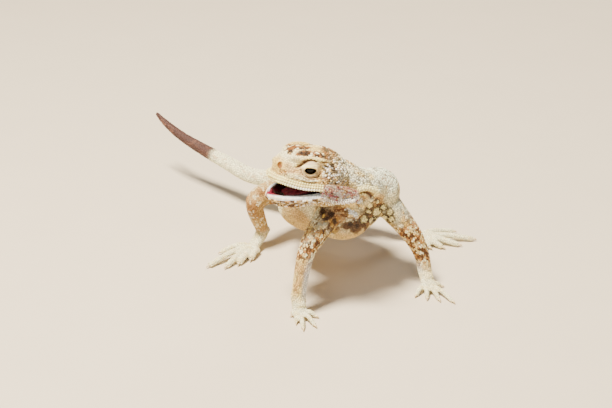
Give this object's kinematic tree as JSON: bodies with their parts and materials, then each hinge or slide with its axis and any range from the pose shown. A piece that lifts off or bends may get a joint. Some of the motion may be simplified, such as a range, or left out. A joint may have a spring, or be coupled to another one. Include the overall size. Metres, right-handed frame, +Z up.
{
  "type": "toad-headed agama lizard model",
  "caption": "Still life-size desert lizard standing tall on straight front legs, head turned aside with mouth ajar, fringed mouth flaps and raised tail.",
  "frame": {"origin": "on the floor, under the middle of the whole model's box", "axes": "+Z up; the trunk lies along Y with the head end towards -Y and the tail towards +Y; +X is the animal's left side"},
  "size_m": [0.1022, 0.146, 0.0584],
  "materials": {
    "sand_skin": "fine dry scales, sand and cream with dark brown and grey grains",
    "pale_skin": "fine dry scales, cream white",
    "tail_dark": "fine dry scales, dark purplish brown",
    "flap_skin": "pink skin with white spines along its edge",
    "wet_mouth": "wet, dark red",
    "eye": "wet, almost black",
    "claw": "horn, pale"
  },
  "bodies": {
    "root": {"head": "sand_skin", "lower_jaw": "sand_skin", "neck": "sand_skin", "torso": "sand_skin", "tongue": "wet_mouth", "eye_left": "eye", "eye_right": "eye", "mouth_flap_left": "flap_skin", "mouth_flap_right": "flap_skin", "upper_arm_left": "sand_skin", "upper_arm_right": "sand_skin", "forearm_left": "sand_skin", "forearm_right": "sand_skin", "hand_left": "pale_skin", "hand_right": "pale_skin", "thigh_left": "sand_skin", "thigh_right": "sand_skin", "shank_left": "sand_skin", "shank_right": "sand_skin", "foot_left": "pale_skin", "foot_right": "pale_skin", "tail_base": "pale_skin", "tail_middle": "pale_skin", "tail_tip": "tail_dark"}
  },
  "joints": []
}
